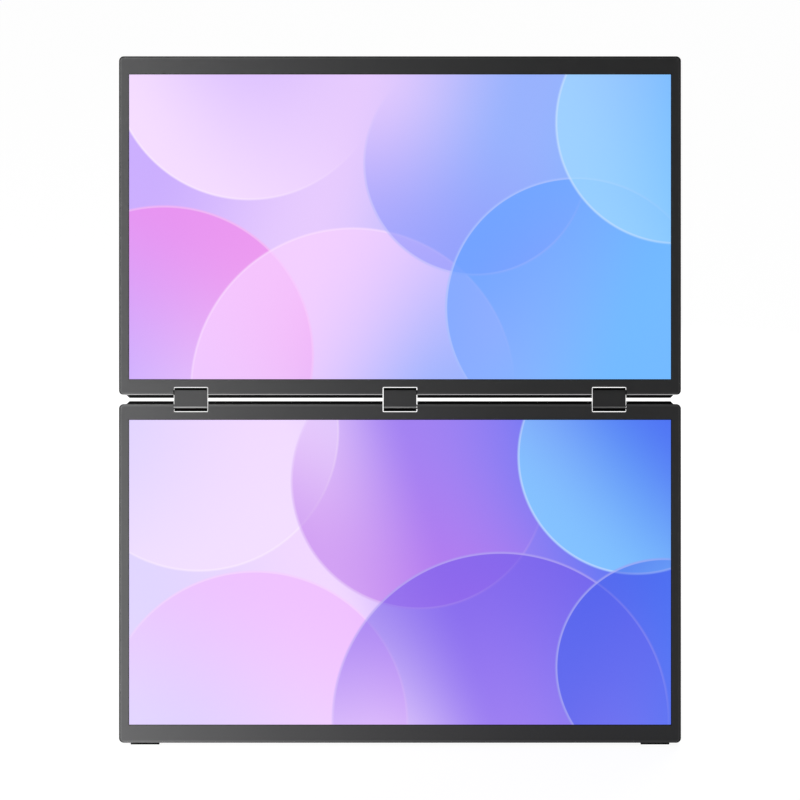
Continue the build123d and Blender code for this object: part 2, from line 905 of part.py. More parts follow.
for side, hinge in all_hinges.items():
    nodes[f"hinge_cap_front_{side}"] = at_hinge(cap_half_shell(-1), hinge)
    nodes[f"hinge_cap_rear_{side}"] = at_hinge(cap_half_shell(1), hinge)
    nodes[f"bearing_block_{side}"] = at_hinge(bearing_block(), hinge)

nodes["upper_cable"] = set_upper(upper_cable())
nodes["lower_cable"] = set_lower(lower_cable())
nodes["link_cable"] = link_cable()

*usb_sockets, hdmi_socket = [set_lower(socket(w, *size)) for w, size in sized_sockets()]
nodes["main_board"] = set_lower(main_board())
nodes["usb_c_sockets"] = group(usb_sockets)
nodes["mini_hdmi_socket"] = hdmi_socket
nodes["button_board"] = set_lower(button_board())
for name, w in button_places().items():
    nodes[name] = set_lower(button(w))

nodes["rubber_foot_left"] = foot(-1)
nodes["rubber_foot_right"] = foot(1)

left_x, right_x = stand_bracket_places()
nodes["kickstand_plate"] = swing_out(set_lower(stand_plate()))
nodes["kickstand_pad"] = swing_out(set_lower(stand_pad()))
nodes["kickstand_bracket_left"] = set_lower(stand_bracket(left_x))
nodes["kickstand_bracket_right"] = set_lower(stand_bracket(right_x))
nodes["kickstand_pins"] = group([set_lower(stand_pin(x)) for x in stand_bracket_places()])

# Lean it back, set it on the floor and centre it front to back
leaned = {name: Rot(X=-math.degrees(lean)) * shape for name, shape in nodes.items()}
boxes = [shape.bounding_box() for shape in leaned.values()]
middle_y = (min(box.min.Y for box in boxes) + max(box.max.Y for box in boxes)) / 2
to_floor = Pos(0, -middle_y, -floor_z)

os.makedirs("parts", exist_ok=True)
for name, shape in leaned.items():
    export_step(to_floor * shape, f"parts/{name}.step")
print(len(leaned), "pieces, lean", round(math.degrees(lean), 2), "degrees")
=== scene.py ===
import bmesh
import bpy
import json
import math
from mathutils import Matrix, Vector


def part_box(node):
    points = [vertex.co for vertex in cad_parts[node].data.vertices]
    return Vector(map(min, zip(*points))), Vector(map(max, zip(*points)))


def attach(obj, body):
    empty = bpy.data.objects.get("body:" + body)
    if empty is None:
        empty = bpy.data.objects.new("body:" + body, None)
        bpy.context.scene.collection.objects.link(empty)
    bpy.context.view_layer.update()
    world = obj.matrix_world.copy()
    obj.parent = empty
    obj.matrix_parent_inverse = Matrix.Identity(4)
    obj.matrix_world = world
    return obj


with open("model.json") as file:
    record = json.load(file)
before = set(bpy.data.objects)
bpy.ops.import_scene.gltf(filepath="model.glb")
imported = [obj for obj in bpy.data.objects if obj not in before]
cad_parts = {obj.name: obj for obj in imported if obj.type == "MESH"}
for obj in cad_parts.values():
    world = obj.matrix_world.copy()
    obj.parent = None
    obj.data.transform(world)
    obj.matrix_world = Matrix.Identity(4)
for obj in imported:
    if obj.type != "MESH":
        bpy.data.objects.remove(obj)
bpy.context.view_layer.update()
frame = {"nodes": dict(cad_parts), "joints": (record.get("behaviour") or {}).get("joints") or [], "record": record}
nodes = frame["nodes"]
joints = {joint["name"]: joint for joint in frame["joints"]}
mounts = {mount["name"]: mount for mount in frame["record"]["mounts"]}
print("frame loaded:", len(nodes), "pieces")

# the monitor's own directions, taken from its two fold axes
mm = 0.001
lowerAxis = Vector(joints["lower_fold"]["pos_m"])
upperAxis = Vector(joints["upper_fold"]["pos_m"])
foldMiddle = (lowerAxis + upperAxis) / 2
right = Vector((1, 0, 0))
up = (upperAxis - lowerAxis).normalized()
back = up.cross(right)
lean = math.atan2(up.y, up.z)
turned = Matrix((right, back, up)).transposed()
bothScreens = {"upper": 1, "lower": -1}  # which way each screen lies from the fold
sides = ("left", "middle", "right")


def spot(x, y, z):  # a point in mm on the upright monitor, from the middle of the fold
    return foldMiddle + turned @ Vector((x, y, z)) * mm


def upright(point):  # the way back, from the leaning part to mm on the upright monitor
    return turned.transposed() @ (Vector(point) - foldMiddle) / mm


# camera: square on to the screens
shot = {
    "distance": 2.7,
    "frontFace": 0.0042,  # from the fold's middle to the front of the frames
    "frameWidth": 0.50816,  # how wide the picture is at that face
    "sensorMm": 36.0,
    "belowFoldMm": 0.29,
    "clip": (0.05, 200),
}


def makeCamera():
    data = bpy.data.cameras.new("photoCamera")
    data.sensor_width = shot["sensorMm"]
    data.lens = shot["sensorMm"] * (shot["distance"] - shot["frontFace"]) / shot["frameWidth"]
    data.clip_start, data.clip_end = shot["clip"]
    camera = bpy.data.objects.new("photoCamera", data)
    aim = spot(0, 0, -shot["belowFoldMm"])
    facing = Matrix((right, up, -back)).transposed().to_4x4()
    camera.matrix_world = Matrix.Translation(aim - back * shot["distance"]) @ facing
    bpy.context.scene.collection.objects.link(camera)
    bpy.context.scene.camera = camera


makeCamera()
bpy.context.scene.view_settings.view_transform = "Standard"
print("camera set")


# small helpers for node trees
def tint(red, green, blue):  # a screen colour, 0 to 255, as the linear value a shader takes
    def linear(value):
        share = value / 255
        return share / 12.92 if share <= 0.04045 else ((share + 0.055) / 1.055) ** 2.4
    return (linear(red), linear(green), linear(blue), 1)


def put(tree, kind, settings=None, inputs=None):
    made = tree.nodes.new("ShaderNode" + kind)
    for key, value in (settings or {}).items():
        setattr(made, key, value)
    for key, value in (inputs or {}).items():
        if isinstance(value, bpy.types.NodeSocket):
            tree.links.new(value, made.inputs[key])
        else:
            made.inputs[key].default_value = value
    return made


def emptyMaterial(name):
    material = bpy.data.materials.new(name)
    material.use_nodes = True
    tree = material.node_tree
    tree.nodes.clear()
    output = tree.nodes.new("ShaderNodeOutputMaterial")
    shader = tree.nodes.new("ShaderNodeBsdfPrincipled")
    tree.links.new(shader.outputs["BSDF"], output.inputs["Surface"])
    return material, tree, shader


def uprightMm(tree):  # where a point is on the upright monitor, in mm
    place = put(tree, "TexCoord")
    turn = {"Vector": place.outputs["Object"], "Location": foldMiddle}
    turn.update({"Rotation": (-lean, 0, 0), "Scale": (mm, mm, mm)})
    return put(tree, "Mapping", {"vector_type": "TEXTURE"}, turn).outputs["Vector"]


def split(tree, vector):
    return put(tree, "SeparateXYZ", inputs={"Vector": vector}).outputs


def maths(tree, kind, first, second=0.0):
    return put(tree, "Math", {"operation": kind}, {0: first, 1: second}).outputs[0]


def apart(tree, first, second):  # how far one value is from another
    return maths(tree, "ABSOLUTE", maths(tree, "SUBTRACT", first, second))


def rise(tree, value, low, high):  # 0 below low, 1 above high
    reach = {"Value": value, "From Min": low, "From Max": high}
    return put(tree, "MapRange", {"interpolation_type": "SMOOTHSTEP"}, reach).outputs["Result"]


def spread(tree, value, low, high):  # a 0 to 1 value, brought to low to high
    reach = {"Value": value, "To Min": low, "To Max": high}
    return put(tree, "MapRange", inputs=reach).outputs["Result"]


def blendColour(tree, share, first, second):
    made = put(tree, "Mix", {"data_type": "RGBA"})
    for key, value in (("Factor", share), ("A", first), ("B", second)):
        wanted = "VALUE" if key == "Factor" else "RGBA"
        entry = next(one for one in made.inputs if one.name == key and one.type == wanted)
        if isinstance(value, bpy.types.NodeSocket):
            tree.links.new(value, entry)
        else:
            entry.default_value = value
    return next(one for one in made.outputs if one.type == "RGBA")


def rampThrough(tree, share, colours):  # colours is a list of positions, 0 to 1, and their colours
    made = put(tree, "ValToRGB", inputs={"Fac": share})
    stops = made.color_ramp.elements
    while len(stops) < len(colours):
        stops.new(0.5)  # its real position comes below
    for stop, (position, colour) in zip(stops, colours):
        stop.position, stop.color = position, colour
    return made


def speckle(tree, vector, perMm, detail, stretch=None):
    if stretch:
        vector = put(tree, "Mapping", inputs={"Vector": vector, "Scale": stretch}).outputs["Vector"]
    noise = {"Vector": vector, "Scale": perMm, "Detail": detail}
    return put(tree, "TexNoise", inputs=noise).outputs["Fac"]


def shaded(colour, factor):
    return (colour[0] * factor, colour[1] * factor, colour[2] * factor, 1)


def mottled(tree, pattern, colour, reach):  # darker to lighter than the colour, by the pattern
    return blendColour(tree, pattern, shaded(colour, 1 - reach), shaded(colour, 1 + reach))


def addBump(tree, shader, height, strength, depthMm):
    bump = {"Height": height, "Strength": strength, "Distance": depthMm * mm}
    tree.links.new(put(tree, "Bump", inputs=bump).outputs["Normal"], shader.inputs["Normal"])


# what a finish has where its own look doesn't say
plainLook = {
    "detail": 3.0,
    "stretch": None,
    "drift": 0.05,
    "driftPerMm": 0.03,
    "driftDetail": 2.0,
    "fleck": 0.0,  # how far the grain itself lightens and darkens the colour
    "fleckShare": 0.5,
    "roughSpread": 0.06,
    "bump": 0.2,
    "grainMm": 0.01,
    "metal": 0.0,
    "specular": 0.5,
    "zones": [],
}


def makeFinish(name, ownLook):  # one finish with its grain, colour drift and changing gloss
    look = {**plainLook, **ownLook}
    material, tree, shader = emptyMaterial(name)
    place = uprightMm(tree)
    cloud = speckle(tree, place, look["driftPerMm"], look["driftDetail"])
    colour = mottled(tree, cloud, look["colour"], look["drift"])
    grain = speckle(tree, place, look["grainPerMm"], look["detail"], look["stretch"])
    if look["fleck"]:
        flecks = mottled(tree, grain, look["colour"], look["fleck"] / look["fleckShare"])
        colour = blendColour(tree, look["fleckShare"], colour, flecks)
    rough = spread(tree, grain, look["rough"] - look["roughSpread"], look["rough"] + look["roughSpread"])
    shader.inputs["Metallic"].default_value = look["metal"]
    shader.inputs["Specular IOR Level"].default_value = look["specular"]
    for zone in look["zones"]:
        where = zone["where"](tree, place)
        colour = blendColour(tree, where, colour, zone["colour"])
        if "metal" in zone:  # this zone is more or less metallic than the rest
            metal = spread(tree, where, look["metal"], zone["metal"])
            tree.links.new(metal, shader.inputs["Metallic"])
        if "gloss" in zone:
            rough = maths(tree, "SUBTRACT", rough, maths(tree, "MULTIPLY", where, zone["gloss"]))
    tree.links.new(colour, shader.inputs["Base Color"])
    tree.links.new(rough, shader.inputs["Roughness"])
    addBump(tree, shader, grain, look["bump"], look["grainMm"])
    return material


def dress(material, *names):
    for name in names:
        piece = nodes[name]
        if not piece.material_slots:
            piece.data.materials.append(material)
        for entry in piece.material_slots:
            entry.material = material


# case: its outline is measured on the upper front frame, and the lower one mirrors it
framePoints = [upright(vertex.co) for vertex in nodes["front_frame_upper"].data.vertices]
frameEdge = {
    "halfWidth": max(point.x for point in framePoints),
    "hingeEdge": min(point.z for point in framePoints),
    "outerEdge": max(point.z for point in framePoints),
    "corner": 3.0,
    "rimMm": 0.8,
    # the rim colour is painted shade: darker where the rounded edge turns up and to the sides
    "rim": (0.008, 0.008, 0.008, 1),
    # the shoulder colour is a painted highlight: a lighter band just inside the rounded rim
    "shoulderMm": 1.5,
    "shoulderHighlight": (0.09, 0.09, 0.091, 1),
    # the lit edge is a painted highlight along the upper frame's downward edge
    "litEdgeMm": 0.45,
    "litEdge": (0.6, 0.6, 0.6, 1),
    "windowMm": 0.4,
    "window": (0.012, 0.012, 0.013, 1),
}
display = {"width": 344.16, "height": 193.59, "hingeBezel": 10.07}  # the lit area
halfDisplay = display["width"] / 2
displayLow = frameEdge["hingeEdge"] + display["hingeBezel"]
displayHigh = displayLow + display["height"]
frameLook = {
    "colour": (0.062, 0.062, 0.063, 1),
    "grainPerMm": 5.0,
    "grainMm": 0.012,
    "rough": 0.5,
    "specular": 0.06,
    "drift": 0.03,
}
coverLook = {
    "colour": (0.05, 0.05, 0.052, 1),
    "grainPerMm": 3.2,
    "grainMm": 0.03,
    "bump": 0.35,
    "fleck": 0.3,
    "rough": 0.6,
    "metal": 0.4,
    "specular": 0.04,
    "drift": 0.08,
}
lipZone = {"fromFoldMm": 3.0, "black": (0.002, 0.002, 0.002, 1)}


def fromFrameEdge(tree, place):  # mm in from the rounded outline of a front frame
    parts = split(tree, place)
    corner = frameEdge["corner"]
    middle = (frameEdge["outerEdge"] + frameEdge["hingeEdge"]) / 2
    halfHeight = (frameEdge["outerEdge"] - frameEdge["hingeEdge"]) / 2
    sideways = maths(tree, "ABSOLUTE", parts["X"])
    upward = apart(tree, maths(tree, "ABSOLUTE", parts["Z"]), middle)
    over = maths(tree, "SUBTRACT", sideways, frameEdge["halfWidth"] - corner)
    above = maths(tree, "SUBTRACT", upward, halfHeight - corner)
    beyond = {"X": maths(tree, "MAXIMUM", over, 0.0), "Y": maths(tree, "MAXIMUM", above, 0.0)}
    beyond = put(tree, "CombineXYZ", inputs=beyond).outputs["Vector"]
    outside = put(tree, "VectorMath", {"operation": "LENGTH"}, {0: beyond}).outputs["Value"]
    inside = maths(tree, "MINIMUM", maths(tree, "MAXIMUM", over, above), 0.0)
    return maths(tree, "SUBTRACT", corner, maths(tree, "ADD", outside, inside))


# painted highlight on the band just inside the frame's outline
def onShoulderHighlight(tree, place):
    return maths(tree, "LESS_THAN", fromFrameEdge(tree, place), frameEdge["shoulderMm"])


def onShadedRim(tree, place):  # painted shade on the rounded rim, all round apart from the hinge edges and the edge that faces the floor
    height = split(tree, place)["Z"]
    rim = frameEdge["rimMm"]
    near = maths(tree, "LESS_THAN", fromFrameEdge(tree, place), rim)
    fromFold = maths(tree, "ABSOLUTE", height)
    offHinge = maths(tree, "GREATER_THAN", fromFold, frameEdge["hingeEdge"] + rim)
    offFloor = maths(tree, "GREATER_THAN", height, rim - frameEdge["outerEdge"])
    return maths(tree, "MULTIPLY", near, maths(tree, "MULTIPLY", offHinge, offFloor))


def onLitEdge(tree, place):  # painted highlight: a light metallic band on the edge of the upper frame that looks down
    height = split(tree, place)["Z"]
    low = maths(tree, "LESS_THAN", height, frameEdge["hingeEdge"] + frameEdge["litEdgeMm"])
    return maths(tree, "MULTIPLY", low, maths(tree, "GREATER_THAN", height, 0.0))


def onWindowEdge(tree, place):
    parts = split(tree, place)
    height = maths(tree, "ABSOLUTE", parts["Z"])
    over = maths(tree, "SUBTRACT", maths(tree, "ABSOLUTE", parts["X"]), halfDisplay)
    over = maths(tree, "MAXIMUM", over, maths(tree, "SUBTRACT", height, displayHigh))
    over = maths(tree, "MAXIMUM", over, maths(tree, "SUBTRACT", displayLow, height))
    return maths(tree, "LESS_THAN", over, frameEdge["windowMm"])


def onLip(tree, place):
    height = maths(tree, "ABSOLUTE", split(tree, place)["Z"])
    return maths(tree, "LESS_THAN", height, lipZone["fromFoldMm"])


def dressCase():
    coverLook["zones"] = [{"where": onLip, "colour": lipZone["black"], "metal": 0.0}]
    frameLook["zones"] = [
        {"where": onShoulderHighlight, "colour": frameEdge["shoulderHighlight"]},
        {"where": onShadedRim, "colour": frameEdge["rim"]},
        {"where": onLitEdge, "colour": frameEdge["litEdge"], "metal": 1.0, "gloss": 0.2},
        {"where": onWindowEdge, "colour": frameEdge["window"]},
    ]
    framePlastic = makeFinish("framePlastic", frameLook)
    coverMetal = makeFinish("coverMetal", coverLook)
    for screen in bothScreens:
        dress(framePlastic, f"front_frame_{screen}")
        dress(coverMetal, f"rear_cover_{screen}")


dressCase()

# hinges
capLook = {
    "colour": (0.062, 0.062, 0.063, 1),
    "grainPerMm": 9.0,
    "grainMm": 0.004,
    "rough": 0.36,
    "specular": 0.04,
    "drift": 0.04,
    # black above and below: black end plastic, with the dark reflection of the rounded ends painted in
    "blackAbove": 5.95,
    "blackBelow": -5.4,
    "black": (0.002, 0.002, 0.002, 1),
    # the line below the cap's face is a painted highlight on its lower rounded edge, front and rear caps alike
    "highlightBelow": -4.5,
    "line": (0.26, 0.26, 0.26, 1),
}
shaftLooks = {
    "upper": {"colour": (0.002, 0.002, 0.002, 1), "grainPerMm": 12.0, "rough": 0.5, "specular": 0.1},
    "lower": {"colour": (0.92, 0.92, 0.93, 1), "grainPerMm": 12.0, "rough": 0.25, "metal": 1.0},
}
steelLook = {
    "colour": (0.5, 0.5, 0.51, 1),
    "grainPerMm": 3.0,
    "stretch": (0.1, 3.0, 3.0),
    "grainMm": 0.004,
    "rough": 0.32,
    "metal": 1.0,
}
steel = makeFinish("brushedSteel", steelLook)


def onCapHighlight(tree, place):
    return maths(tree, "LESS_THAN", split(tree, place)["Z"], capLook["highlightBelow"])


def onCapEnd(tree, place):
    height = split(tree, place)["Z"]
    high = maths(tree, "GREATER_THAN", height, capLook["blackAbove"])
    return maths(tree, "MAXIMUM", high, maths(tree, "LESS_THAN", height, capLook["blackBelow"]))


def dressHinges():
    capLook["zones"] = [
        {"where": onCapHighlight, "colour": capLook["line"]},
        {"where": onCapEnd, "colour": capLook["black"]},
    ]
    capSatin = makeFinish("capSatin", capLook)
    for side in sides:
        dress(capSatin, f"hinge_cap_front_{side}", f"hinge_cap_rear_{side}")
        dress(steel, f"bearing_block_{side}")
    for screen in bothScreens:
        shaftMetal = makeFinish(f"{screen}ShaftMetal", shaftLooks[screen])
        for side in ("left", "right"):
            dress(shaftMetal, f"{screen}_shaft_{side}")
            dress(steel, f"{screen}_bracket_{side}")
        dress(shaftMetal, f"{screen}_cable_tube")
        dress(steel, f"{screen}_screws", f"{screen}_friction_discs", f"{screen}_shaft_clips")


dressHinges()
print("case and hinges dressed")

# screens: a plain gradient under large discs that melt away to one side
glassLook = {
    "dark": (0.012, 0.012, 0.014, 1),
    "glow": 1.0,
    "faceMm": -3.5,  # what lies further forward than this is lit
    "rough": 0.32,
    "roughSpread": 0.05,
    "antiGlarePerMm": 6.0,
    "antiGlareDetail": 2.0,
    "antiGlareMm": 0.002,
    "bump": 0.15,
    "specular": 0.25,
}
discLook = {
    "edgeMm": 1.6,
    "rimMm": 0.7,
    "rimStrength": 0.35,
    "rim": tint(255, 246, 255),
    "fade": (-0.5, 0.95),  # from nothing to full, in radii from the middle towards the side that stays
}
wallpapers = {
    "upper": {
        "sweep": [
            (0.0, tint(198, 168, 250)),
            (0.34, tint(228, 200, 252)),
            (0.66, tint(150, 176, 252)),
            (1.0, tint(112, 184, 255)),
        ],
        "tilt": -0.3,
        "discs": [  # middle, radius, side that stays, colour, strength
            ((-150, 28), 96, 60, tint(236, 128, 232), 0.75),
            ((-96, 214), 88, 215, tint(250, 226, 255), 0.8),
            ((-30, 6), 104, 118, tint(246, 206, 255), 0.7),
            ((48, 150), 72, 250, tint(142, 150, 250), 0.7),
            ((112, 58), 84, 140, tint(96, 160, 255), 0.75),
            ((176, 176), 78, 200, tint(160, 218, 255), 0.7),
        ],
    },
    "lower": {
        "sweep": [
            (0.0, tint(218, 206, 250)),
            (0.36, tint(238, 212, 254)),
            (0.6, tint(158, 126, 240)),
            (1.0, tint(72, 112, 242)),
        ],
        "tilt": 0.3,
        "discs": [
            ((-128, -20), 90, 300, tint(240, 220, 255), 0.8),
            ((-92, -206), 98, 70, tint(236, 178, 252), 0.7),
            ((12, -52), 82, 240, tint(186, 108, 232), 0.65),
            ((64, -204), 108, 100, tint(112, 84, 232), 0.7),
            ((150, -36), 76, 225, tint(128, 200, 255), 0.85),
            ((168, -170), 70, 160, tint(62, 92, 234), 0.75),
        ],
    },
}


def withDisc(tree, flat, picture, disc):
    middle, radius, keptSide, colour, strength = disc
    angle = math.radians(keptSide)
    toSide = (math.cos(angle) / radius, math.sin(angle) / radius, 0)
    out = put(tree, "VectorMath", {"operation": "SUBTRACT"}, {0: flat, 1: (*middle, 0)}).outputs["Vector"]
    far = put(tree, "VectorMath", {"operation": "LENGTH"}, {0: out}).outputs["Value"]
    along = put(tree, "VectorMath", {"operation": "DOT_PRODUCT"}, {0: out, 1: toSide}).outputs["Value"]
    kept = maths(tree, "MULTIPLY", rise(tree, along, *discLook["fade"]), strength)
    inside = maths(tree, "SUBTRACT", 1.0, rise(tree, far, radius - discLook["edgeMm"], radius))
    picture = blendColour(tree, maths(tree, "MULTIPLY", kept, inside), picture, colour)
    rimIn = radius - discLook["edgeMm"] - discLook["rimMm"]
    rim = maths(tree, "MULTIPLY", inside, rise(tree, far, rimIn, rimIn + discLook["rimMm"]))
    rim = maths(tree, "MULTIPLY", maths(tree, "MULTIPLY", rim, kept), discLook["rimStrength"])
    return blendColour(tree, rim, picture, discLook["rim"])


def wallpaper(tree, place, look, centreHeight):
    parts = split(tree, place)
    aslant = maths(tree, "MULTIPLY", maths(tree, "SUBTRACT", parts["Z"], centreHeight), look["tilt"])
    across = maths(tree, "DIVIDE", maths(tree, "ADD", parts["X"], aslant), display["width"])
    sweep = rampThrough(tree, maths(tree, "ADD", across, 0.5), look["sweep"])  # 0.5 is the middle
    sweep.color_ramp.interpolation = "EASE"
    picture = sweep.outputs["Color"]
    flat = put(tree, "CombineXYZ", inputs={"X": parts["X"], "Y": parts["Z"]}).outputs["Vector"]
    for disc in look["discs"]:
        picture = withDisc(tree, flat, picture, disc)
    return picture


def screenGlass(screen):
    material, tree, shader = emptyMaterial(f"{screen}ScreenGlass")
    place = uprightMm(tree)
    centreHeight = bothScreens[screen] * (displayLow + displayHigh) / 2
    picture = wallpaper(tree, place, wallpapers[screen], centreHeight)
    lit = maths(tree, "LESS_THAN", split(tree, place)["Y"], glassLook["faceMm"])
    tree.links.new(blendColour(tree, lit, (0, 0, 0, 1), picture), shader.inputs["Emission Color"])
    shader.inputs["Emission Strength"].default_value = glassLook["glow"]
    shader.inputs["Base Color"].default_value = glassLook["dark"]
    shader.inputs["Specular IOR Level"].default_value = glassLook["specular"]
    haze = speckle(tree, place, glassLook["antiGlarePerMm"], glassLook["antiGlareDetail"])
    rough, reach = glassLook["rough"], glassLook["roughSpread"]
    tree.links.new(spread(tree, haze, rough - reach, rough + reach), shader.inputs["Roughness"])
    addBump(tree, shader, haze, glassLook["bump"], glassLook["antiGlareMm"])
    return material


for screen in bothScreens:
    dress(screenGlass(screen), f"lcd_cell_{screen}")
print("screens dressed")

# stand, feet and buttons
standLook = {
    "colour": (0.055, 0.055, 0.058, 1),
    "grainPerMm": 1.6,
    "stretch": (0.02, 2.5, 2.5),
    "grainMm": 0.02,
    "bump": 0.3,
    "fleck": 0.35,
    "rough": 0.38,
    "metal": 0.7,
}
rubberLook = {
    "colour": (0.002, 0.002, 0.002, 1),
    "grainPerMm": 6.0,
    "grainMm": 0.02,
    "bump": 0.35,
    "rough": 0.8,
    "specular": 0.03,
}
buttonLook = {"colour": (0.02, 0.02, 0.021, 1), "grainPerMm": 10.0, "grainMm": 0.006, "rough": 0.45}

standMetal = makeFinish("standMetal", standLook)
rubber = makeFinish("blackRubber", rubberLook)
buttonPlastic = makeFinish("buttonPlastic", buttonLook)
dress(standMetal, "kickstand_plate", "kickstand_bracket_left", "kickstand_bracket_right")
dress(steel, "kickstand_pins")
dress(rubber, "kickstand_pad", "rubber_foot_left", "rubber_foot_right")
dress(buttonPlastic, "power_button", "plus_button", "minus_button")
print("stand, feet and buttons dressed")

# marks printed on the buttons: a ring with a stroke, a plus and a minus
markLook = {
    "sizeMm": 1.5,
    "strokeMm": 0.22,
    "strokeMiddle": 0.42,  # height of the stroke's middle in the ring, in sizes
    "ringGap": 38,  # degrees to each side of the top
    "ringSteps": 28,
    "proudMm": 0.012,
    "depthMm": 0.03,
}
printLook = {
    "colour": (0.55, 0.55, 0.56, 1),
    "grainPerMm": 14.0,
    "grainMm": 0.003,
    "rough": 0.6,
    "drift": 0.08,
}


def addPiece(name, shape, material, body):  # a finished mesh that rides on a body
    bmesh.ops.recalc_face_normals(shape, faces=shape.faces)
    mesh = bpy.data.meshes.new(name)
    shape.to_mesh(mesh)
    shape.free()
    mesh.materials.append(material)
    piece = bpy.data.objects.new(name, mesh)
    bpy.context.scene.collection.objects.link(piece)
    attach(piece, body)


def barOutline(width, height, middle=0.0):
    x, low, high = width / 2, middle - height / 2, middle + height / 2
    return [(-x, low), (x, low), (x, high), (-x, high)]


def plusOutline(size, stroke):
    tip, side = size / 2, stroke / 2
    arm = [(side, -side), (tip, -side), (tip, side)]  # the arm to the right, without its last corner
    turns = [(1, 0), (0, 1), (-1, 0), (0, -1)]
    return [(x * c - y * s, x * s + y * c) for c, s in turns for x, y in arm]


def ringOutline(radius, stroke):  # a ring that is open at its top
    start, stop = 90 + markLook["ringGap"], 450 - markLook["ringGap"]
    steps = markLook["ringSteps"]
    turns = [math.radians(start + (stop - start) * step / steps) for step in range(steps + 1)]
    outer = [(radius * math.cos(turn), radius * math.sin(turn)) for turn in turns]
    inner = [((radius - stroke) * math.cos(turn), (radius - stroke) * math.sin(turn)) for turn in turns]
    return outer + inner[::-1]


def markOutlines():
    size, stroke = markLook["sizeMm"], markLook["strokeMm"]
    strokeUp = barOutline(stroke, size / 2, size * markLook["strokeMiddle"])
    return {
        "power_button": [ringOutline(size / 2, stroke), strokeUp],
        "plus_button": [plusOutline(size, stroke)],
        "minus_button": [barOutline(size, stroke)],
    }


def printMark(button, outlines, material):
    low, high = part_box(button)
    face = Vector((high.x, (low.y + high.y) / 2, (low.z + high.z) / 2))
    shape = bmesh.new()
    for outline in outlines:
        rows = []
        for out in (markLook["proudMm"], -markLook["depthMm"]):
            rows.append([shape.verts.new(face + (right * out + back * u + up * v) * mm) for u, v in outline])
        top, bottom = rows
        shape.faces.new(top)
        shape.faces.new(bottom[::-1])
        for one in range(len(outline)):
            two = (one + 1) % len(outline)
            shape.faces.new((top[one], bottom[one], bottom[two], top[two]))
    addPiece(f"{button}_mark", shape, material, button)


buttonPrint = makeFinish("buttonPrint", printLook)
for button, outlines in markOutlines().items():
    printMark(button, outlines, buttonPrint)
print("button marks printed")

# sockets: nickel shells, black tongues and gilt contacts, placed by the sockets' mounts; all in mm
sockets = {
    "each": {  # half width of the tongue, contacts in a row, their pitch, faces with a row
        "usb_c_upper": (3.57, 12, 0.5, (-1, 1)),
        "usb_c_lower": (3.57, 12, 0.5, (-1, 1)),
        "mini_hdmi": (4.7, 19, 0.4, (-1,)),
    },
    "tongueHalf": 0.35,
    "overEnds": 0.02,  # how far the black reaches past the tongue
    "overFaces": 0.01,
    "black": (0.006, 0.006, 0.006, 1),
    "contactFrom": 0.9,
    "contactLength": 2.8,
    "contactWidth": 0.22,
    "contactThick": 0.02,
}
nickelLook = {
    "colour": (0.58, 0.57, 0.55, 1),
    "grainPerMm": 5.0,
    "grainMm": 0.004,
    "rough": 0.28,
    "metal": 1.0,
}
giltLook = {
    "colour": (0.78, 0.52, 0.2, 1),
    "grainPerMm": 12.0,
    "grainMm": 0.002,
    "rough": 0.3,
    "metal": 1.0,
}


def onTongue(tree, place):
    parts = split(tree, place)
    inside = 0.0
    for mount, (half, *rest) in sockets["each"].items():
        middle = upright(mounts[mount]["pos_m"])
        ends = maths(tree, "LESS_THAN", apart(tree, parts["Z"], middle.z), half + sockets["overEnds"])
        depth = sockets["tongueHalf"] + sockets["overFaces"]
        faces = maths(tree, "LESS_THAN", apart(tree, parts["Y"], middle.y), depth)
        inside = maths(tree, "MAXIMUM", maths(tree, "MULTIPLY", ends, faces), inside)
    return inside


def addBlock(shape, low, high):  # a small block on the upright monitor, corners in mm
    corners = []
    for x in (low[0], high[0]):
        for y in (low[1], high[1]):
            corners += [shape.verts.new(spot(x, y, z)) for z in (low[2], high[2])]
    for face in ((0, 1, 3, 2), (4, 6, 7, 5), (0, 4, 5, 1), (2, 3, 7, 6), (0, 2, 6, 4), (1, 5, 7, 3)):
        shape.faces.new([corners[one] for one in face])


def makeContacts():
    shape = bmesh.new()
    halfWidth, thick = sockets["contactWidth"] / 2, sockets["contactThick"]
    for mount, (half, count, pitch, faces) in sockets["each"].items():
        mouth = upright(mounts[mount]["pos_m"])
        x0 = mouth.x + sockets["contactFrom"]
        x1 = x0 + sockets["contactLength"]
        for face in faces:
            y = mouth.y + face * sockets["tongueHalf"]
            for one in range(count):
                z = mouth.z + (one - (count - 1) / 2) * pitch
                addBlock(shape, (x0, y - thick, z - halfWidth), (x1, y + thick, z + halfWidth))
    gilt = makeFinish("giltContact", giltLook)
    addPiece("socket_contacts", shape, gilt, "lower_screen")


nickelLook["zones"] = [{"where": onTongue, "colour": sockets["black"]}]
dress(makeFinish("socketNickel", nickelLook), "usb_c_sockets", "mini_hdmi_socket")
makeContacts()
print("sockets dressed")

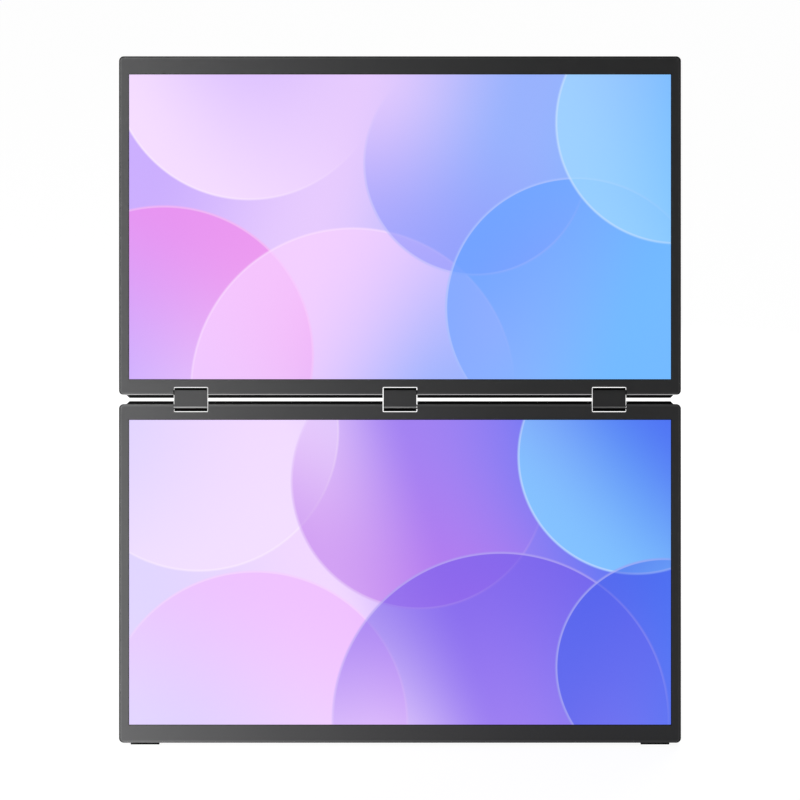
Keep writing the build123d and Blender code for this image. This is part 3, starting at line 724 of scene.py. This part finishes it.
# what is inside the cases
insideLooks = {
    "guideAcrylic": {
        "on": ["light_guide_upper", "light_guide_lower"],
        "colour": (0.82, 0.83, 0.82, 1),
        "grainPerMm": 1.6,
        "detail": 0.0,
        "rough": 0.3,
    },
    "trayMetal": {
        "on": ["backlight_tray_upper", "backlight_tray_lower"],
        "colour": (0.6, 0.6, 0.61, 1),
        "grainPerMm": 2.0,
        "stretch": (3.0, 3.0, 0.1),
        "rough": 0.36,
        "metal": 1.0,
    },
    "boardGreen": {
        "on": ["driver_board_upper", "driver_board_lower", "main_board", "button_board"],
        "colour": (0.012, 0.085, 0.035, 1),
        "grainPerMm": 2.5,
        "rough": 0.4,
        "drift": 0.25,
        "driftPerMm": 0.6,
    },
    "cableJacket": {
        "on": ["upper_cable", "lower_cable", "link_cable"],
        "colour": (0.012, 0.012, 0.012, 1),
        "grainPerMm": 5.0,
        "rough": 0.55,
    },
    "ledBoard": {
        "on": ["led_bar_upper", "led_bar_lower"],
        "colour": (0.75, 0.74, 0.7, 1),
        "grainPerMm": 2.0,
        "rough": 0.45,
        "drift": 0.15,
        "driftPerMm": 0.25,
    },
}
for name, look in insideLooks.items():
    dress(makeFinish(name, look), *look["on"])
print("inner pieces dressed")

# floor, world and lights
stageLook = {
    "floorSize": 120.0,
    "white": 0.94,  # the floor's own glow where it is seen
    "shadowShare": 0.15,  # how much of the light, and so of the shadow, shows on it there
    "bounce": 0.52,  # what it gives back to the monitor
}
worldLook = {"horizon": (0.0, 0.6), "low": (0.12, 0.42), "zenith": (0.9, 0.24)}  # height, level
panels = {  # at and to are in mm from the fold, on the upright monitor; the size is in m
    "lowPanel": {
        "at": (-548, -641, -260),
        "to": (-532, 0, -260),
        "size": (0.14, 0.16),
        "watts": 5.6,
        "beam": 91,
    },
    "highPanel": {
        "at": (-548, -641, 380),
        "to": (-532, 0, 380),
        "size": (0.14, 0.5),
        "watts": 4.7,
        "beam": 91,
    },
    "floorPanel": {
        "at": (80, -450, -192),
        "to": (40, 0, -150),
        "size": (0.6, 0.03),
        "watts": 0.22,
        "beam": 180,
    },
    "rearPanel": {
        "at": (380, 1000, 520),
        "to": (0, 0, 0),
        "size": (0.7, 0.7),
        "watts": 9.0,
        "beam": 180,
    },
}


def makeFloor():
    half = stageLook["floorSize"] / 2
    mesh = bpy.data.meshes.new("floor")
    corners = [(-half, -half, 0), (half, -half, 0), (half, half, 0), (-half, half, 0)]
    mesh.from_pydata(corners, [], [(0, 1, 2, 3)])
    floor = bpy.data.objects.new("floor", mesh)
    bpy.context.scene.collection.objects.link(floor)
    material = bpy.data.materials.new("paleFloor")
    material.use_nodes = True
    tree = material.node_tree
    tree.nodes.clear()
    ray = put(tree, "LightPath").outputs
    seen = maths(tree, "MAXIMUM", ray["Is Camera Ray"], ray["Is Glossy Ray"])
    seen = maths(tree, "MAXIMUM", seen, ray["Is Transmission Ray"])
    share = spread(tree, seen, stageLook["bounce"], stageLook["shadowShare"])
    matt = put(tree, "BsdfDiffuse", inputs={"Color": share}).outputs["BSDF"]
    glow = put(tree, "Emission", inputs={"Strength": maths(tree, "MULTIPLY", seen, stageLook["white"])})
    both = put(tree, "AddShader", inputs={0: matt, 1: glow.outputs["Emission"]}).outputs["Shader"]
    put(tree, "OutputMaterial", inputs={"Surface": both})
    mesh.materials.append(material)


def makeWorld():
    world = bpy.data.worlds.new("studio")
    bpy.context.scene.world = world
    world.use_nodes = True
    tree = world.node_tree
    tree.nodes.clear()
    height = split(tree, put(tree, "TexCoord").outputs["Generated"])["Z"]
    greys = [(position, (level, level, level, 1)) for position, level in worldLook.values()]
    sky = rampThrough(tree, height, greys).outputs["Color"]
    light = put(tree, "Background", inputs={"Color": sky}).outputs["Background"]
    put(tree, "OutputWorld", inputs={"Surface": light})


def makePanel(name, look):  # a soft panel
    data = bpy.data.lights.new(name, "AREA")
    data.shape = "RECTANGLE"
    data.size, data.size_y = look["size"]
    data.energy = look["watts"]
    data.spread = math.radians(look["beam"])
    panel = bpy.data.objects.new(name, data)
    place = spot(*look["at"])
    away = (place - spot(*look["to"])).normalized()
    side = up.cross(away).normalized()
    facing = Matrix((side, away.cross(side), away)).transposed().to_4x4()
    panel.matrix_world = Matrix.Translation(place) @ facing
    panel.visible_camera = False
    bpy.context.scene.collection.objects.link(panel)


makeFloor()
makeWorld()
for name, look in panels.items():
    makePanel(name, look)
print("floor, world and light set")
